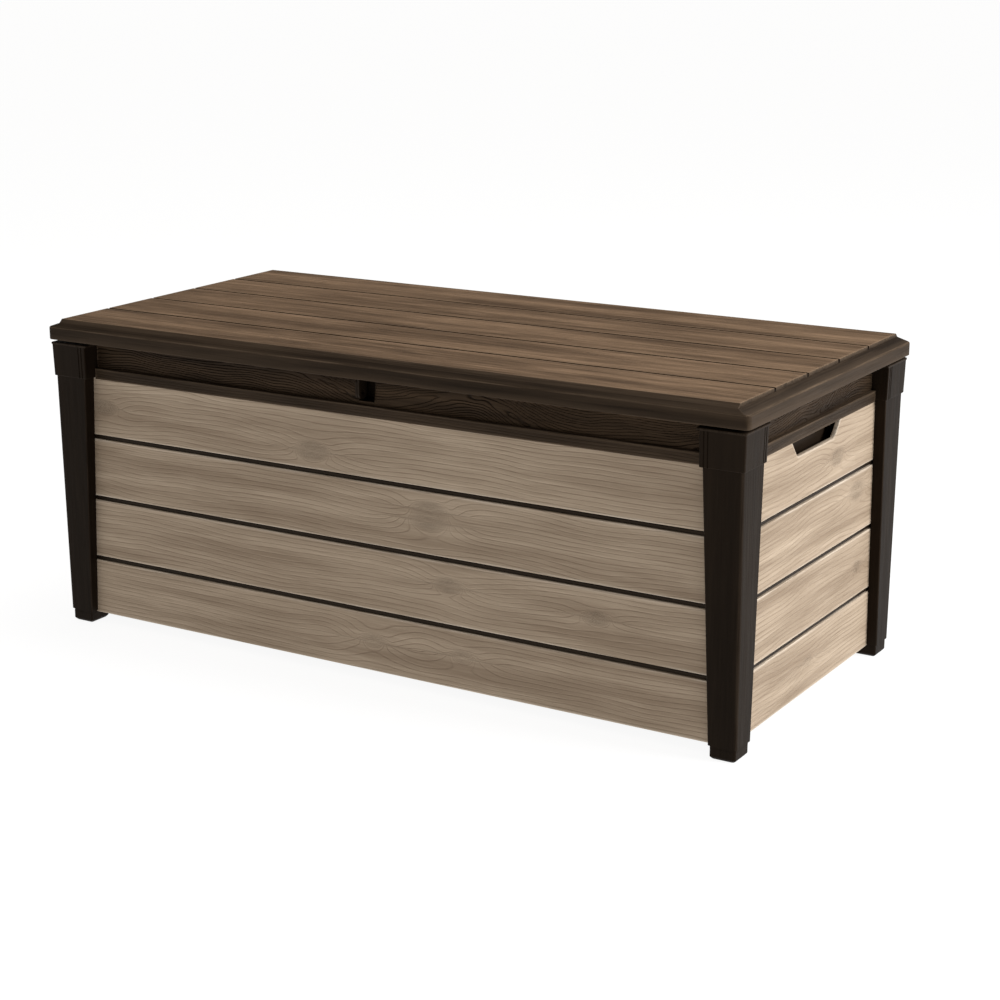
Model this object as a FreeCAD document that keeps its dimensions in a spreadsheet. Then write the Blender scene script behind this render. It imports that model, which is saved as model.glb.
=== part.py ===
"""Deck storage box: a resin bench-height chest with plank walls and a lid that lifts on gas struts.

Millimetres. The origin is on the ground under the middle of the box, +X runs along its length, the
front faces -Y and +Z is up. Pieces are drawn for the back and the right (+X) side and mirrored.
"""
import FreeCAD, Part
import os
import re
import Sketcher
from FreeCAD import Placement, Rotation, Vector

SIZES = {
    # overall
    "box_length": 1455,
    "box_depth": 697,
    "box_height": 603,
    # lid
    "lid_bottom": 564,
    "lip_top": 588,
    "bevel_top": 596,
    "bevel_end": 24,
    "bevel_front": 16,
    "bevel_mid": 8.5,
    "lid_wall": 4,
    "lid_corner": 10,
    "roof_under": 594,
    "lid_groove": 6,
    "lid_groove_floor": 598,
    "lid_plank_pitch": 133,
    "liner_bottom": 566,
    "liner_thickness": 5,
    "liner_gap": 1,
    "liner_recess": 2.5,
    "liner_rib": 40,
    "rim_flange_drop": 10,
    "rim_flange_gap": 3,
    "rim_flange_wall": 3,
    # walls
    "front_inset": 33,
    "side_inset": 31,
    "plank_thickness": 8,
    "plank_hollow": 5,
    "plank_wall": 3,
    "plank_edge": 2,
    "plank_pitch": 122,
    "plank_height": 113.4,
    "sill_height": 20,
    "top_plank_bottom": 380.5,
    "panel_thickness": 4,
    "panel_top": 557,
    "panel_rib_height": 4.6,
    "panel_rib_depth": 5,
    # floor
    "floor_top": 30,
    "floor_thickness": 4,
    "floor_rib": 5,
    "floor_rib_pitch": 150,
    # rails and ledge moulding
    "ledge_bottom": 490,
    "ledge_top": 511,
    "ledge_nose": 2.5,
    "ledge_round": 2,
    "rail_bottom": 495,
    "rail_top": 555,
    "rail_thickness": 2,
    # legs, corner caps and feet
    "leg_top_inset_x": 10,
    "leg_foot_inset_x": 11,
    "leg_top_inset_y": 7,
    "leg_foot_inset_y": 15,
    "leg_top_width_x": 72,
    "leg_top_width_y": 79,
    "leg_foot_width_x": 52,
    "leg_foot_width_y": 55,
    "leg_top": 494,
    "leg_bottom": 24,
    "leg_wall": 3,
    "cap_inset_x": 6,
    "cap_inset_y": 3,
    "cap_width_x": 81,
    "cap_width_y": 87,
    "cap_draft": 1.5,
    "cap_top": 559,
    "cap_rim": 4,
    "cap_rim_out": 1,
    "cap_rim_in": 5,
    "cap_groove": 2.5,
    "cap_groove_depth": 1.5,
    "cap_groove_pitch": 7,
    "foot_step": 2.5,
    "foot_chamfer": 4,
    # carrying handles
    "grip_bottom": 461,
    "grip_bottom_half": 74,
    "grip_top_half": 113,
    "grip_corner": 9,
    "cup_half": 122,
    "cup_bottom": 450,
    "cup_top": 503,
    "cup_depth": 20,
    "cup_wall": 2.5,
    # padlock point
    "notch_left": -38,
    "notch_right": -2,
    "notch_bottom": 517,
    "notch_wall": 2,
    "pocket_depth": 26,
    "pocket_top": 551,
    "staple_thickness": 3.5,
    "hasp_thickness": 4,
    "hasp_gap": 1,
    "hasp_front": 318,
    "hasp_back": 294,
    "hasp_bottom": 519,
    "shackle_y": 306,
    "shackle_z": 532,
    "shackle_radius": 4.5,
    # hinges
    "hinge_y": 337,
    "hinge_z": 552,
    "hinge_spacing": 480,
    "knuckle_radius": 8,
    "hinge_width": 90,
    "hinge_leaf_width": 30,
    "hinge_slot_depth": 24,
    "hinge_screw_offset": 30,
    "leaf_screw_offset": 7.5,
    "leaf_screw_setback": 14,
    "hinge_plate": 4,
    "hinge_plate_bottom": 520,
    "leaf_web": 6,
    "leaf_foot_depth": 26,
    "running_gap": 0.5,
    "pin_radius": 3,
    "pin_clearance": 0.05,
    # gas struts
    "strut_x": 658,
    "strut_base_y": 40,
    "strut_base_z": 424,
    "strut_lid_y": 267,
    "strut_lid_z": 548,
    "strut_eye_radius": 8,
    "strut_eye_half": 6.5,
    "strut_stud_radius": 4,
    "strut_tube_radius": 9,
    "strut_tube_bore": 7.5,
    "strut_tube_length": 212,
    "strut_tube_start": 18,
    "strut_tube_end_wall": 6,
    "strut_gland_length": 12,
    "strut_rod_radius": 4,
    "strut_piston_radius": 7.4,
    "strut_piston_length": 12,
    "strut_piston_start": 40,
    "strut_socket_length": 22,
    "strut_socket_radius": 6,
    "strut_clearance": 0.05,
    "bracket_plate": 3,
    "bracket_half": 26,
    "bracket_height": 44,
    "bracket_screw_offset": 17,
    "lid_tab_gap": 8,
    "lid_tab_foot": 24,
    "lid_tab_half": 12,
    "lid_tab_drop": 10,
    # screws
    "screw_radius": 2,
    "screw_length": 7,
    "screw_head_radius": 4,
    "screw_face_radius": 2.7,
    "screw_head_height": 2.2,
}
PLANKS = 4
LID_GROOVES = (-1.5, -0.5, 0.5, 1.5)
FLOOR_RIBS = range(-4, 5)
NEAR = 0.01
X_AXIS = Vector(1, 0, 0)
Y_AXIS = Vector(0, 1, 0)
Z_AXIS = Vector(0, 0, 1)

# Where the main planes lie, as formulas of the sheet's names. All are distances from the middle.
END = "box_length / 2"
BACK = "box_depth / 2"
PLANK_X = "(box_length / 2 - side_inset)"
PLANK_Y = "(box_depth / 2 - front_inset)"
PANEL_X = "(box_length / 2 - side_inset - plank_thickness)"
PANEL_Y = "(box_depth / 2 - front_inset - plank_thickness)"
INSIDE_X = "(box_length / 2 - side_inset - plank_thickness - panel_thickness)"
INSIDE_Y = "(box_depth / 2 - front_inset - plank_thickness - panel_thickness)"
CAP_INNER_X = "(box_length / 2 - cap_inset_x - cap_width_x)"
CAP_INNER_Y = "(box_depth / 2 - cap_inset_y - cap_width_y)"

doc = FreeCAD.newDocument("deck_storage_box")
sheet = doc.addObject("Spreadsheet::Sheet", "Sizes")
pieces = {}


def fill_sheet():
    """Writes each driving dimension in column B, under its name in column A."""
    for row, (name, number) in enumerate(SIZES.items(), 1):
        sheet.set(f"A{row}", name)
        sheet.set(f"B{row}", str(number))
        sheet.setAlias(f"B{row}", name)
    doc.recompute()


def in_sheet(formula):
    """Puts the sheet's name before each of its names in a formula."""
    return re.sub(r"[a-z_]+", lambda word: "Sizes." * (word.group() in SIZES) + word.group(), formula)


def bind(thing, **formulas):
    """Ties properties to formulas. A double underscore stands for a dot in the property's name."""
    for prop, formula in formulas.items():
        thing.setExpression(prop.replace("__", "."), in_sheet(formula))
    return thing


def keep(thing, name):
    """Names a finished piece of the box."""
    thing.Label = name
    pieces[name] = thing
    return thing


def block(x, y, z):
    """A box between two formulas along each axis."""
    solid = doc.addObject("Part::Box", "block")
    for side, axis, (low, high) in zip(("Length", "Width", "Height"), "xyz", (x, y, z)):
        bind(solid, **{side: f"({high}) - ({low})", f"Placement__Base__{axis}": low})
    return solid


def taper(z, low_x, low_y, high_x, high_y):
    """A block whose outline changes evenly from its bottom to its top."""
    solid = doc.addObject("Part::Wedge", "taper")
    solid.Placement = Placement(Vector(), Rotation(X_AXIS, 90))
    return bind(
        solid,
        Ymin=z[0], Ymax=z[1],
        Xmin=low_x[0], Xmax=low_x[1], X2min=high_x[0], X2max=high_x[1],
        Zmin=f"-({low_y[1]})", Zmax=f"-({low_y[0]})", Z2min=f"-({high_y[1]})", Z2max=f"-({high_y[0]})",
    )


def rod(radius, x, y, z):
    """A cylinder along X between two formulas."""
    solid = doc.addObject("Part::Cylinder", "rod")
    solid.Placement = Placement(Vector(), Rotation(Y_AXIS, 90))
    bind(solid, Radius=radius, Height=f"({x[1]}) - ({x[0]})")
    return bind(solid, Placement__Base__x=x[0], Placement__Base__y=y, Placement__Base__z=z)


def both_ways(half):
    """The two ends of a stretch centred on the middle."""
    return f"-({half})", half


def joined(*solids):
    """One solid from several that meet."""
    whole = doc.addObject("Part::MultiFuse", "joined")
    whole.Shapes = list(solids)
    whole.Refine = True
    return whole


def grouped(solids):
    """Separate solids in one piece, such as a set of screws."""
    group = doc.addObject("Part::Compound", "group")
    group.Links = list(solids)
    return group


def cut(solid, *tools):
    """A solid with the tools taken away."""
    rest = doc.addObject("Part::Cut", "cut")
    rest.Base = solid
    rest.Tool = tools[0] if len(tools) == 1 else joined(*tools)
    return rest


def mirrored(source, normal):
    """The piece on the other side of the middle."""
    copy = doc.addObject("Part::Mirroring", "mirrored")
    copy.Source = source
    copy.Normal = normal
    return copy


def rounded(solid, radius, wanted):
    """Rounds the edges that wanted() picks by their shape."""
    doc.recompute()
    smooth = doc.addObject("Part::Fillet", "rounded")
    smooth.Base = solid
    size = float(sheet.getPropertyByName(radius))
    edges = enumerate(solid.Shape.Edges, 1)
    smooth.Edges = [(number, size, size) for number, edge in edges if wanted(edge)]
    return smooth


def along(edge, axis):
    """True if a straight edge runs along an axis."""
    ends = edge.Vertexes[-1].Point - edge.Vertexes[0].Point
    return ends.Length > 0 and abs(ends.normalize().dot(axis)) > 1 - NEAR


def outline(body, plane, points):
    """A closed sketch of straight lines, each corner held to formulas from the origin."""
    sketch = body.newObject("Sketcher::SketchObject", "outline")
    face = next(feature for feature in body.Origin.OriginFeatures if feature.Role == plane)
    sketch.AttachmentSupport = [(face, "")]
    sketch.MapMode = "FlatFace"
    count = len(points)
    rough = [Vector(number, number * number, 0) for number in range(count)]
    for number in range(count):
        following = (number + 1) % count
        sketch.addGeometry(Part.LineSegment(rough[number], rough[following]), False)
    for number in range(count):
        sketch.addConstraint(Sketcher.Constraint("Coincident", number, 2, (number + 1) % count, 1))
    for number, point in enumerate(points):
        for kind, formula in zip(("DistanceX", "DistanceY"), point):
            place = rough[number].x if kind == "DistanceX" else rough[number].y
            which = sketch.addConstraint(Sketcher.Constraint(kind, -1, 1, number, 1, place))
            sketch.setExpression(f"Constraints[{which}]", in_sheet(formula))
    return sketch


def extruded(plane, points, length):
    """A body padded both ways from one of its origin planes."""
    body = doc.addObject("PartDesign::Body", "profile")
    pad = body.newObject("PartDesign::Pad", "pad")
    pad.Profile = outline(body, plane, points)
    pad.SideType = "Symmetric"
    bind(pad, Length=length)
    return body


def turned(points):
    """A body revolved about its own Y axis."""
    body = doc.addObject("PartDesign::Body", "turned")
    spin = body.newObject("PartDesign::Revolution", "spin")
    sketch = outline(body, "XY_Plane", points)
    spin.Profile = sketch
    spin.ReferenceAxis = (sketch, ["V_Axis"])
    spin.Angle = 360
    return body


def floor():
    """The base: a plate between the wall panels, with ribs under it."""
    rib_bottom = "sill_height"
    plate_bottom = "floor_top - floor_thickness"
    plate = block(both_ways(INSIDE_X), both_ways(INSIDE_Y), (plate_bottom, "floor_top"))
    ribs = []
    for step in FLOOR_RIBS:
        middle = f"{step} * floor_rib_pitch"
        across = (f"{middle} - floor_rib / 2", f"{middle} + floor_rib / 2")
        ribs.append(block(across, both_ways(INSIDE_Y), (rib_bottom, plate_bottom)))
    keep(joined(plate, *ribs), "base_floor")


def plank_levels(number):
    """Bottom and top of a wall plank, counted from the top one."""
    low = f"top_plank_bottom - {number} * plank_pitch"
    high = f"{low} + plank_height"
    return ("sill_height" if number == PLANKS - 1 else low), high


def gap_middles():
    """Heights of the middles of the gaps between planks."""
    return [
        f"top_plank_bottom - {number} * plank_pitch - (plank_pitch - plank_height) / 2"
        for number in range(PLANKS - 1)
    ]


def grip_tool():
    """What the handle cut-out takes from a side plank: a shallow trough with rounded corners."""
    across = (INSIDE_X, END)
    trough = taper(
        ("grip_bottom", "leg_top"),
        across, both_ways("grip_bottom_half"), across, both_ways("grip_top_half"),
    )
    doc.recompute()
    lowest = trough.Shape.BoundBox.ZMin
    return rounded(
        trough, "grip_corner",
        lambda edge: along(edge, X_AXIS) and edge.CenterOfMass.z < lowest + NEAR,
    )


def plank(number, wall):
    """One open-backed plank of the back or the right wall; the handle plank is solid and cut out."""
    low, high = plank_levels(number)
    handle = wall == "right" and number == 0
    if wall == "back":
        run, outer, outward = PANEL_X, PLANK_Y, Y_AXIS
        face = block(both_ways(run), (PANEL_Y, outer), (low, high))
        hollow = block(
            both_ways(f"{run} - plank_wall"),
            (PANEL_Y, f"{PANEL_Y} + plank_hollow"),
            (f"{low} + plank_wall", f"{high} - plank_wall"),
        )
    else:
        run, outer, outward = PANEL_Y, PLANK_X, X_AXIS
        face = block((PANEL_X, outer), both_ways(run), (low, high))
        hollow = block(
            (PANEL_X, f"{PANEL_X} + plank_hollow"),
            both_ways(f"{run} - plank_wall"),
            (f"{low} + plank_wall", f"{high} - plank_wall"),
        )
    doc.recompute()
    front = max(vertex.Point.dot(outward) for vertex in face.Shape.Vertexes)
    soft = rounded(
        face, "plank_edge",
        lambda edge: edge.CenterOfMass.dot(outward) > front - NEAR,
    )
    name = f"{wall}_plank_{number + 1}"
    keep(cut(soft, grip_tool() if handle else hollow), name)


def planks():
    """Four planks on each wall, counted from the top."""
    for number in range(PLANKS):
        for wall, opposite, normal in (("back", "front", Y_AXIS), ("right", "left", X_AXIS)):
            plank(number, wall)
            name = f"{wall}_plank_{number + 1}"
            keep(mirrored(pieces[name], normal), f"{opposite}_plank_{number + 1}")


def panels():
    """The dark inner wall panels, with a rib showing in each gap between planks."""
    levels = ("sill_height", "panel_top")
    back = [block(both_ways(PANEL_X), (INSIDE_Y, PANEL_Y), levels)]
    side = [block((INSIDE_X, PANEL_X), both_ways(INSIDE_Y), levels)]
    for middle in gap_middles():
        rib = (f"{middle} - panel_rib_height / 2", f"{middle} + panel_rib_height / 2")
        back.append(block(both_ways(PANEL_X), (PANEL_Y, f"{PANEL_Y} + panel_rib_depth"), rib))
        side.append(block((PANEL_X, f"{PANEL_X} + panel_rib_depth"), both_ways(PANEL_Y), rib))
    keep(joined(*back), "back_wall_panel")
    keep(opened_at_notch(mirrored(pieces["back_wall_panel"], Y_AXIS)), "front_wall_panel")
    window = block((INSIDE_X, PANEL_X), both_ways("cup_half"), ("cup_bottom", "cup_top"))
    keep(cut(joined(*side), window), "right_wall_panel")
    keep(mirrored(pieces["right_wall_panel"], X_AXIS), "left_wall_panel")


def handle_cups():
    """The pockets behind the handle cut-outs, open to the outside, where the fingers go."""
    deep = f"{PANEL_X} - cup_depth"
    shell = block((deep, PANEL_X), both_ways("cup_half"), ("cup_bottom", "cup_top"))
    room = block(
        (f"{deep} + cup_wall", PANEL_X),
        both_ways("cup_half - cup_wall"),
        ("cup_bottom + cup_wall", "cup_top - cup_wall"),
    )
    keep(cut(shell, room), "right_handle_cup")
    keep(mirrored(pieces["right_handle_cup"], X_AXIS), "left_handle_cup")


def rail_profile(panel, plank_face):
    """Section of a top rail: a recessed face above a ledge moulding that is proud of the planks."""
    nose = f"{plank_face} + ledge_nose"
    face = f"{panel} + rail_thickness"
    return [
        (panel, "rail_bottom"),
        (panel, "rail_top"),
        (face, "rail_top"),
        (face, "ledge_top"),
        (f"{nose} - ledge_round", "ledge_top"),
        (nose, "ledge_top - ledge_round"),
        (nose, "ledge_bottom + ledge_round"),
        (f"{nose} - ledge_round", "ledge_bottom"),
        (plank_face, "ledge_bottom"),
        (plank_face, "rail_bottom"),
    ]


def notch_room():
    """The gap cut down from the rim at the front, where a padlock goes."""
    return block(("notch_left", "notch_right"), (f"-({BACK})", "0"), ("notch_bottom", "lid_bottom + 1"))


def opened_at_notch(solid):
    """A front piece in three lengths: to the left of the notch, to its right and the sill under it."""
    deep, high = (f"-({BACK})", "0"), ("0", "box_height")
    left_part = (f"-({END})", "notch_left")
    right_part = ("notch_right", END)
    left = cut(solid, block(("notch_left", END), deep, high))
    right = cut(solid, block((f"-({END})", "notch_right"), deep, high))
    sill = cut(solid, block(left_part, deep, high), block(right_part, deep, high), notch_room())
    return grouped([left, right, sill])


def rails():
    """The four rails between the corner caps; the front one is notched for the padlock."""
    back = extruded("YZ_Plane", rail_profile(PANEL_Y, PLANK_Y), f"2 * {CAP_INNER_X}")
    keep(back, "back_rail")
    front = mirrored(extruded("YZ_Plane", rail_profile(PANEL_Y, PLANK_Y), f"2 * {CAP_INNER_X}"), Y_AXIS)
    keep(opened_at_notch(front), "front_rail")
    side = extruded("XZ_Plane", rail_profile(PANEL_X, PLANK_X), f"2 * {CAP_INNER_Y}")
    keep(side, "right_rail")
    keep(mirrored(side, X_AXIS), "left_rail")


def leg_flanges(inner):
    """The two flanges of a corner leg, or with inner set, the hollow behind them."""
    wall = "leg_wall" if inner else "0"

    def spans(end):
        outer_x = f"{END} - leg_{end}_inset_x - {wall}"
        outer_y = f"{BACK} - leg_{end}_inset_y - {wall}"
        start_x = f"{END} - leg_{end}_inset_x - leg_{end}_width_x + {wall}"
        start_y = f"{BACK} - leg_{end}_inset_y - leg_{end}_width_y + {wall}"
        along_x = ((start_x, outer_x), (PLANK_Y, outer_y))
        along_y = ((PLANK_X, outer_x), (start_y, outer_y))
        return along_x, along_y

    foot = spans("foot")
    top = spans("top")
    levels = ("leg_bottom + leg_wall", "leg_top") if inner else ("leg_bottom", "leg_top")
    return joined(*(taper(levels, *low, *high) for low, high in zip(foot, top)))


def leg():
    """A tapered corner leg: an angle that stands proud of the planks on both walls."""
    return cut(leg_flanges(False), leg_flanges(True))


def cap():
    """The cap over a corner leg: a wider angle with a rim and two grooves near each inner edge."""
    outer_x = f"({END} - cap_inset_x)"
    outer_y = f"({BACK} - cap_inset_y)"
    rim_low = "cap_top - cap_rim"

    def spans(out, inner="0", behind="0"):
        reach_x = f"{outer_x} + {out}"
        reach_y = f"{outer_y} + {out}"
        along_x = ((f"{CAP_INNER_X} - {inner}", reach_x), (f"{PANEL_Y} + {behind}", reach_y))
        along_y = ((f"{PANEL_X} + {behind}", reach_x), (f"{CAP_INNER_Y} - {inner}", reach_y))
        return along_x, along_y

    def angle(levels, low, high):
        return [taper(levels, *one, *other) for one, other in zip(low, high)]

    body = angle(("leg_top", rim_low), spans("-cap_draft"), spans("0"))
    rim = spans("cap_rim_out", "cap_rim_in", "rail_thickness")
    solid = joined(*body, *angle((rim_low, "cap_top"), rim, rim))
    hollow = angle(
        ("leg_top + leg_wall", "cap_top - leg_wall"),
        spans("-cap_draft - leg_wall", "-leg_wall"), spans("-leg_wall", "-leg_wall"),
    )
    return cut(solid, *hollow, *cap_grooves(outer_x, outer_y, ("leg_top", rim_low)))


def cap_grooves(outer_x, outer_y, levels):
    """What the two grooves near each inner edge take from a cap's drafted faces."""
    grooves = []
    for step in (1, 2):
        shift = f"{step} * cap_groove_pitch"
        across_x = (f"{CAP_INNER_X} + {shift}", f"{CAP_INNER_X} + {shift} + cap_groove")
        across_y = (f"{CAP_INNER_Y} + {shift}", f"{CAP_INNER_Y} + {shift} + cap_groove")
        low_x, low_y = (f"{outer} - cap_draft" for outer in (outer_x, outer_y))
        sunk_x = [(f"{face} - cap_groove_depth", face) for face in (low_x, outer_x)]
        sunk_y = [(f"{face} - cap_groove_depth", face) for face in (low_y, outer_y)]
        grooves.append(taper(levels, across_x, sunk_y[0], across_x, sunk_y[1]))
        grooves.append(taper(levels, sunk_x[0], across_y, sunk_x[1], across_y))
    return grooves


def foot():
    """The foot under a corner: a square block, stepped in from the leg and chamfered round its base."""
    inner_x = f"{END} - leg_foot_inset_x - leg_foot_width_x + foot_step"
    inner_y = f"{BACK} - leg_foot_inset_y - leg_foot_width_y + foot_step"
    outer_x = f"{END} - leg_foot_inset_x - foot_step"
    outer_y = f"{BACK} - leg_foot_inset_y - foot_step"
    small_x = (f"{inner_x} + foot_chamfer", f"{outer_x} - foot_chamfer")
    small_y = (f"{inner_y} + foot_chamfer", f"{outer_y} - foot_chamfer")
    full_x, full_y = (inner_x, outer_x), (inner_y, outer_y)
    base = taper(("0", "foot_chamfer"), small_x, small_y, full_x, full_y)
    top = block(full_x, full_y, ("foot_chamfer", "sill_height"))
    neck_x = block(full_x, (PLANK_Y, outer_y), ("sill_height", "leg_bottom"))
    neck_y = block((PLANK_X, outer_x), full_y, ("sill_height", "leg_bottom"))
    return joined(base, top, neck_x, neck_y)


def corners():
    """Leg, cap and foot at each of the four corners."""
    for name, make in (("leg", leg), ("corner_cap", cap), ("foot", foot)):
        first = keep(make(), f"back_right_{name}")
        front = keep(mirrored(first, Y_AXIS), f"front_right_{name}")
        keep(mirrored(first, X_AXIS), f"back_left_{name}")
        keep(mirrored(front, X_AXIS), f"front_left_{name}")


def lid_shell():
    """The lid's outer shell: lip, bevel and five moulded planks, hollow below."""
    rough_skirt = block(both_ways(END), both_ways(BACK), ("lid_bottom", "box_height"))
    envelope = rounded(rough_skirt, "lid_corner", lambda edge: along(edge, Z_AXIS))
    slab_x = both_ways(f"{END} - bevel_end")
    mid_y = both_ways(f"{BACK} - bevel_mid")
    full_x, full_y = both_ways(END), both_ways(BACK)
    lip = block(full_x, full_y, ("lid_bottom", "lip_top"))
    bevel = taper(("lip_top", "bevel_top"), full_x, full_y, slab_x, mid_y)
    slab = taper(("bevel_top", "box_height"), slab_x, mid_y, slab_x, both_ways(f"{BACK} - bevel_front"))
    outside = doc.addObject("Part::Common", "outside")
    outside.Base = joined(lip, bevel, slab)
    outside.Tool = envelope
    inner_x = both_ways(f"{END} - lid_wall")
    inner_y = both_ways(f"{BACK} - lid_wall")
    skirt_room = block(inner_x, inner_y, ("lid_bottom", "lip_top - lid_wall"))
    roof_room = taper(
        ("lip_top - lid_wall", "roof_under"),
        inner_x, inner_y,
        both_ways(f"{END} - bevel_end"), both_ways(f"{BACK} - bevel_front"),
    )
    grooves = []
    for place in LID_GROOVES:
        middle = f"{place} * lid_plank_pitch"
        across = (f"{middle} - lid_groove / 2", f"{middle} + lid_groove / 2")
        grooves.append(block(full_x, across, ("lid_groove_floor", "box_height + lid_wall")))
    keep(cut(outside, skirt_room, roof_room, *grooves), "lid_shell")


def lid_liner():
    """The panel under the lid, with shallow fields between ribs and a flange inside the walls."""
    edge_x = f"{END} - lid_wall - liner_gap"
    edge_y = f"{BACK} - lid_wall - liner_gap"
    top = "liner_bottom + liner_thickness"
    plate = block(both_ways(edge_x), both_ways(edge_y), ("liner_bottom", top))
    ring_x = f"{INSIDE_X} - rim_flange_gap"
    ring_y = f"{INSIDE_Y} - rim_flange_gap"
    drop = ("liner_bottom - rim_flange_drop", "liner_bottom")
    ring = block(both_ways(ring_x), both_ways(ring_y), drop)
    ring_room = block(
        both_ways(f"{ring_x} - rim_flange_wall"), both_ways(f"{ring_y} - rim_flange_wall"), drop
    )
    fields = []
    field_length = f"(2 * ({ring_x} - liner_rib * 2) - 2 * liner_rib) / 3"
    half_width = f"({ring_y} - 2 * liner_rib)"
    for step in (-1, 0, 1):
        middle = f"{step} * ({field_length} + liner_rib)"
        across = (f"{middle} - {field_length} / 2", f"{middle} + {field_length} / 2")
        levels = ("liner_bottom", "liner_bottom + liner_recess")
        fields.append(block(across, both_ways(half_width), levels))
    hasp_room = block(("notch_left - notch_wall", "notch_right + notch_wall"), (f"-({BACK})", "0"), drop)
    keep(cut(joined(plate, cut(ring, ring_room, hasp_room)), *fields), "lid_liner")


def padlock_point():
    """The staple in its pocket behind the notch, and the lid's hasp beside it, pierced together."""
    hasp_low = "notch_left + staple_thickness + hasp_gap"
    half_depth = "(hasp_front - hasp_back) / 2"
    middle_y = "-(hasp_front + hasp_back) / 2"
    round_z = f"hasp_bottom + {half_depth}"

    def fin(across, top):
        tongue = block(across, ("-hasp_front", "-hasp_back"), (round_z, top))
        toe = rod(half_depth, across, middle_y, round_z)
        hole = rod("shackle_radius", ("notch_left - notch_wall", "notch_right"), "-shackle_y", "shackle_z")
        return joined(tongue, toe), hole

    hasp, hole = fin((hasp_low, f"{hasp_low} + hasp_thickness"), "liner_bottom")
    keep(cut(hasp, hole), "lid_hasp")
    staple, hole = fin(("notch_left", "notch_left + staple_thickness"), "pocket_top")
    pocket = block(
        ("notch_left - notch_wall", "notch_right + notch_wall"),
        (f"-{INSIDE_Y}", f"-{INSIDE_Y} + pocket_depth"),
        ("notch_bottom - notch_wall", "pocket_top"),
    )
    room = block(
        ("notch_left", "notch_right"),
        (f"-{INSIDE_Y}", f"-{INSIDE_Y} + pocket_depth - notch_wall"),
        ("notch_bottom", "lid_bottom"),
    )
    shell = cut(pocket, room)
    keep(cut(joined(shell, staple), hole), "padlock_staple")


def hinge_span(station, low, high):
    """A stretch along one hinge, from the hinge's middle."""
    middle = f"{station} * hinge_spacing"
    return f"{middle} + {low}", f"{middle} + {high}"


def hinge_bracket(station):
    """A bracket on the back rail with a knuckle at each end, bored for the pin."""
    width = hinge_span(station, "-hinge_width / 2", "hinge_width / 2")
    rail_y = f"{PANEL_Y} + rail_thickness"
    web_levels = ("hinge_z - knuckle_radius", "hinge_z - knuckle_radius + hinge_plate")
    plate = block(width, (rail_y, f"{rail_y} + hinge_plate"), ("hinge_plate_bottom", web_levels[1]))
    web = block(width, (rail_y, "hinge_y"), web_levels)
    knuckle = rod("knuckle_radius", width, "hinge_y", "hinge_z")
    half_gap = "(hinge_leaf_width / 2 + running_gap)"
    gap = hinge_span(station, f"-{half_gap}", half_gap)
    slot = block(gap, (f"{BACK} - hinge_slot_depth", BACK), ("hinge_plate_bottom", "lid_bottom"))
    bore = rod("pin_radius + pin_clearance", width, "hinge_y", "hinge_z")
    return cut(joined(plate, web, knuckle), slot, bore)


def hinge_leaf(station):
    """The lid's knuckle, with a web up to a foot under the liner."""
    width = hinge_span(station, "-hinge_leaf_width / 2", "hinge_leaf_width / 2")
    knuckle = rod("knuckle_radius", width, "hinge_y", "hinge_z")
    web_y = ("hinge_y - leaf_web / 2", "hinge_y + leaf_web / 2")
    web = block(width, web_y, ("hinge_z", "liner_bottom"))
    foot_y = ("hinge_y + leaf_web / 2 - leaf_foot_depth", "hinge_y + leaf_web / 2")
    plate = block(width, foot_y, ("liner_bottom - bracket_plate", "liner_bottom"))
    bore = rod("pin_radius + pin_clearance", width, "hinge_y", "hinge_z")
    return cut(joined(knuckle, web, plate), bore)


def hinges():
    """Three hinges along the back and their pins."""
    pins = []
    for number, station in enumerate((-1, 0, 1), 1):
        keep(hinge_bracket(station), f"hinge_bracket_{number}")
        keep(hinge_leaf(station), f"hinge_leaf_{number}")
        ends = hinge_span(station, "-hinge_width / 2 - pin_radius", "hinge_width / 2 + pin_radius")
        pins.append(rod("pin_radius", ends, "hinge_y", "hinge_z"))
    keep(grouped(pins), "hinge_pins")


def strut_place(body):
    """Lays a piece of the strut, drawn along its own Y axis, from the wall stud to the lid stud."""
    body.Placement = Placement(Vector(), Rotation(X_AXIS, 1))
    return bind(
        body,
        Placement__Base__x="strut_x",
        Placement__Base__y="strut_base_y",
        Placement__Base__z="strut_base_z",
        Placement__Rotation__Angle="atan2(strut_lid_z - strut_base_z; strut_lid_y - strut_base_y)",
    )


def strut_cylinder():
    """The gas tube: closed at the wall end, with a gland for the rod at the other."""
    tube_end = "strut_tube_start + strut_tube_length"
    bore_start = "strut_tube_start + strut_tube_end_wall"
    gland = f"{tube_end} - strut_gland_length"
    slide = "strut_rod_radius + strut_clearance"
    tube = strut_place(turned([
        ("0", "strut_eye_radius / 2"),
        ("strut_socket_radius", "strut_eye_radius / 2"),
        ("strut_socket_radius", "strut_tube_start"),
        ("strut_tube_radius", "strut_tube_start"),
        ("strut_tube_radius", tube_end),
        (slide, tube_end),
        (slide, gland),
        ("strut_tube_bore", gland),
        ("strut_tube_bore", bore_start),
        ("0", bore_start),
    ]))
    eye_x = ("strut_x - strut_eye_half", "strut_x + strut_eye_half")
    eye = rod("strut_eye_radius", eye_x, "strut_base_y", "strut_base_z")
    bore = rod("strut_stud_radius + strut_clearance", eye_x, "strut_base_y", "strut_base_z")
    return cut(joined(tube, eye), bore)


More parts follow.
